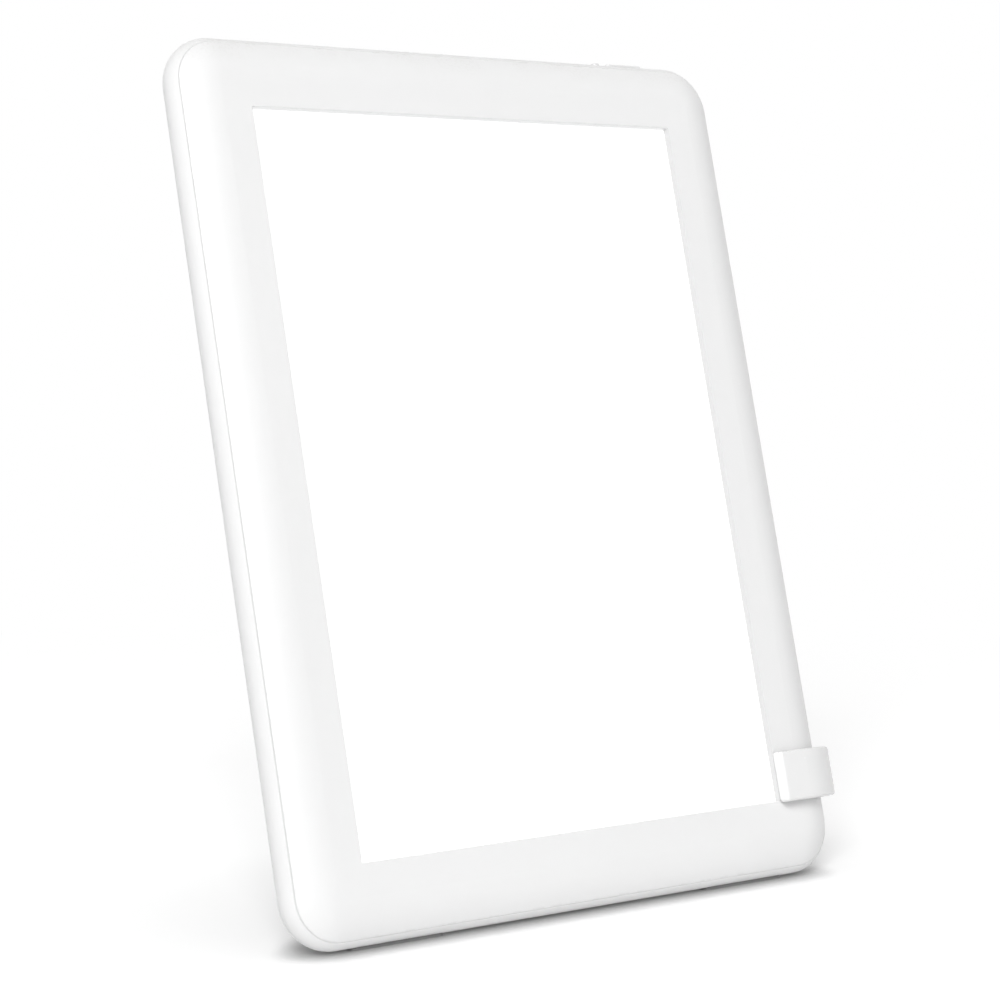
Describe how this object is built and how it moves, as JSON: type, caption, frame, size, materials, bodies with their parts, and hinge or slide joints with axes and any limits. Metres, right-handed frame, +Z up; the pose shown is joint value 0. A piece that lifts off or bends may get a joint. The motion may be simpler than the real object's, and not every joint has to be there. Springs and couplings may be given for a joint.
{
  "type": "light therapy lamp",
  "caption": "Flat edge-lit light therapy lamp: opal window in a white rounded housing, push buttons on top and a slide-off bent strip stand that leans it back.",
  "frame": {"origin": "on the table, at the centre of the lamp's footprint box", "axes": "+Z up from the table, window facing -Y, +X to the right of someone looking at the window"},
  "size_m": [0.1658, 0.0762, 0.2071],
  "materials": {
    "housing": "fine satin moulding",
    "frame": "soft gloss moulding",
    "opal": "opal acrylic, lit from behind",
    "guide": "clear acrylic",
    "reflector": "white film",
    "tray": "mill finish",
    "strip": "white solder mask",
    "led": "phosphor gel",
    "steel": "zinc plated",
    "board": "green solder mask",
    "ferrite": "ferrite",
    "can": "drawn can",
    "chip": "moulded resin",
    "socket": "nylon",
    "jack": "moulded nylon",
    "contact": "plated brass",
    "lead": "vinyl insulation",
    "key_lead": "vinyl insulation",
    "switch": "moulded resin",
    "actuator": "nylon",
    "button": "fine satin moulding",
    "stand": "soft gloss moulding",
    "pad": "soft rubber"
  },
  "bodies": {
    "housing": {"board_screws": "steel", "body_feet": "pad", "chassis_screws": "steel", "chassis_tray": "tray", "diffuser_panel": "opal", "driver_board": "board", "driver_capacitors": "can", "driver_chips": "chip", "driver_coil": "ferrite", "front_shell": "frame", "housing_screws": "steel", "inlet_jack": "jack", "inlet_pin": "contact", "jack_leads": "lead", "key_board": "board", "key_lead": "key_lead", "key_switches": "switch", "lead_sockets": "socket", "led_strip_left": "strip", "led_strip_right": "strip", "leds_left": "led", "leds_right": "led", "light_guide": "guide", "rear_shell": "housing", "reflector_sheet": "reflector", "strip_lead_left": "lead", "strip_lead_right": "lead"},
    "power_key": {"power_button": "button", "power_actuator": "actuator"},
    "dimmer_key": {"dimmer_button": "button", "dimmer_actuator": "actuator"},
    "stand": {"stand_strip": "stand", "stand_pads": "pad"}
  },
  "joints": [
    {"name": "power_press", "type": "slide", "parent": "housing", "child": "power_key", "axis": [0, -0.2571, -0.9664], "range_m": [0, 0.0004], "stiffness_N_per_m": 900, "springref_m": -0.0004},
    {"name": "dimmer_press", "type": "slide", "parent": "housing", "child": "dimmer_key", "axis": [0, -0.2571, -0.9664], "range_m": [0, 0.0004], "stiffness_N_per_m": 900, "springref_m": -0.0004},
    {"name": "stand_pull", "type": "slide", "parent": "housing", "child": "stand", "axis": [1, 0, 0], "range_m": [0, 0.04]}
  ]
}
